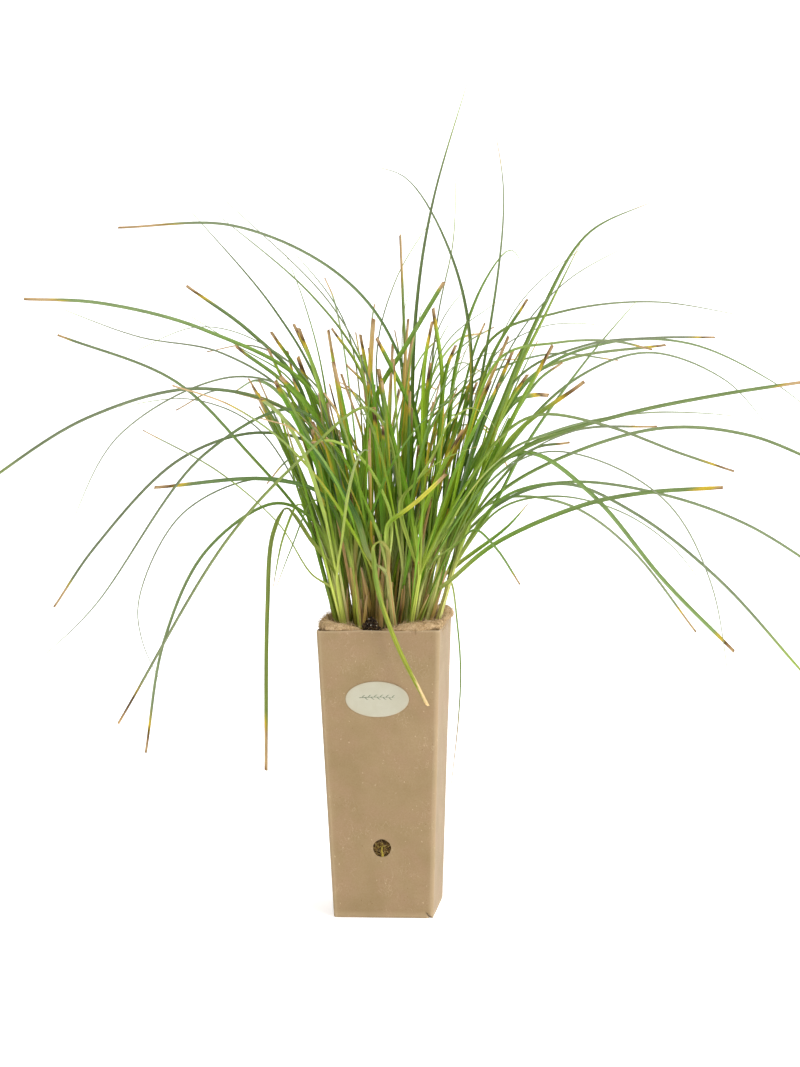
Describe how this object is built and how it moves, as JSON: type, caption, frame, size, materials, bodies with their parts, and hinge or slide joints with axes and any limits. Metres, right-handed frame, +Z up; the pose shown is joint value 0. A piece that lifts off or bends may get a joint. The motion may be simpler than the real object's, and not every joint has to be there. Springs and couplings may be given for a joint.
{
  "type": "potted sedge",
  "caption": "Tufted sedge with narrow, keeled, arching leaves, growing from a tall tapered square card pot with a plain oval label and a coir mat round the crown.",
  "frame": {"origin": "centre of the pot's flat foot, on the surface it stands on", "axes": "+Z up; the pot's labelled face looks along -Y; +X to that face's right"},
  "size_m": [0.6252, 0.4787, 0.6112],
  "materials": {
    "card": "matt recycled solid card",
    "label_paper": "matt paper sticker",
    "coir": "matted fibre",
    "compost": "moist crumb with roots",
    "green_leaf": "satin leaf",
    "dry_leaf": "dry matt leaf"
  },
  "bodies": {
    "root": {"cardboard_pot": "card", "label": "label_paper", "root_ball": "compost", "coir_mat": "coir", "tiller_01": "green_leaf", "tiller_02": "green_leaf", "tiller_03": "green_leaf", "dry_tiller_01": "dry_leaf", "tiller_04": "green_leaf", "tiller_05": "green_leaf", "tiller_06": "green_leaf", "dry_tiller_02": "dry_leaf", "tiller_07": "green_leaf", "tiller_08": "green_leaf", "tiller_09": "green_leaf", "dry_tiller_03": "dry_leaf", "tiller_10": "green_leaf", "tiller_11": "green_leaf", "tiller_12": "green_leaf", "dry_tiller_04": "dry_leaf", "tiller_13": "green_leaf", "tiller_14": "green_leaf", "tiller_15": "green_leaf", "dry_tiller_05": "dry_leaf", "tiller_16": "green_leaf", "tiller_17": "green_leaf", "tiller_18": "green_leaf", "tiller_19": "green_leaf", "tiller_20": "green_leaf", "tiller_21": "green_leaf", "tiller_22": "green_leaf", "dry_tiller_06": "dry_leaf", "tiller_23": "green_leaf", "tiller_24": "green_leaf", "tiller_25": "green_leaf", "dry_tiller_07": "dry_leaf", "tiller_26": "green_leaf", "tiller_27": "green_leaf"}
  },
  "joints": []
}
